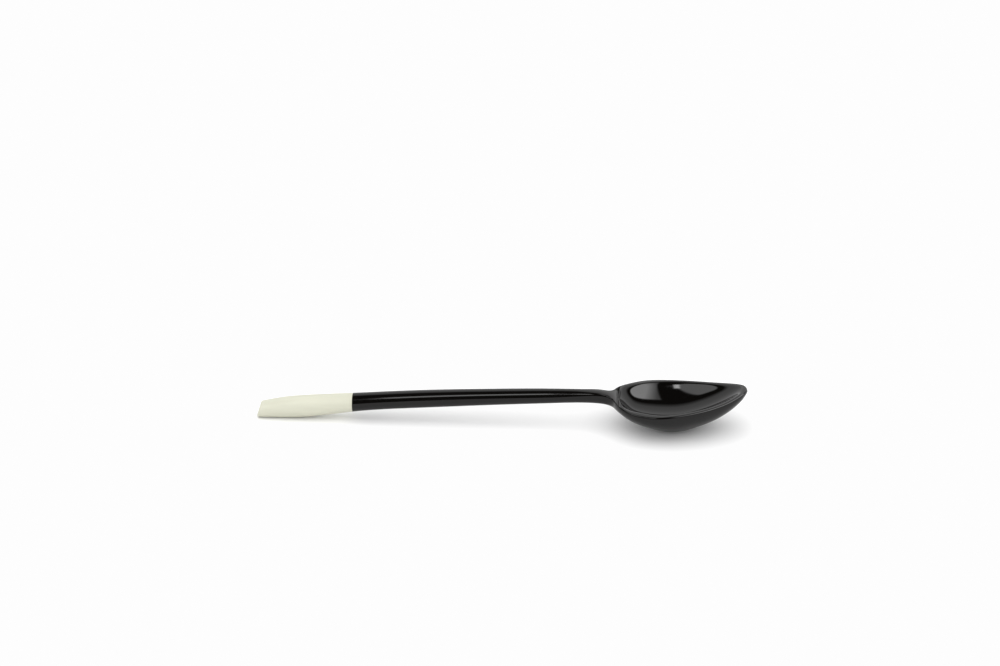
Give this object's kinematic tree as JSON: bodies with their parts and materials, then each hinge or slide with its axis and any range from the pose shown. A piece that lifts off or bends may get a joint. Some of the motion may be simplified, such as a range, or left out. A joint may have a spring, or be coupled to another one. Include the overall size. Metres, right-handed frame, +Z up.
{
  "type": "spoon",
  "caption": "Table spoon with an egg-shaped pointed bowl and a slim round handle, glossy black with a matt cream handle end joined on by a hidden pin.",
  "frame": {"origin": "centre of the flat foot under the bowl, on the surface the spoon rests on", "axes": "+X along the spoon to the bowl's tip, +Z up out of the bowl, +Y across the bowl"},
  "size_m": [0.2001, 0.0338, 0.0184],
  "materials": {
    "black_gloss": "polished to a deep gloss, like lacquer or black horn",
    "cream_matt": "fine satin, greenish cream, like bone",
    "pin_brass": "drawn rod, scored for glue"
  },
  "bodies": {
    "root": {"spoon_body": "black_gloss", "handle_end": "cream_matt", "joint_pin": "pin_brass"}
  },
  "joints": []
}
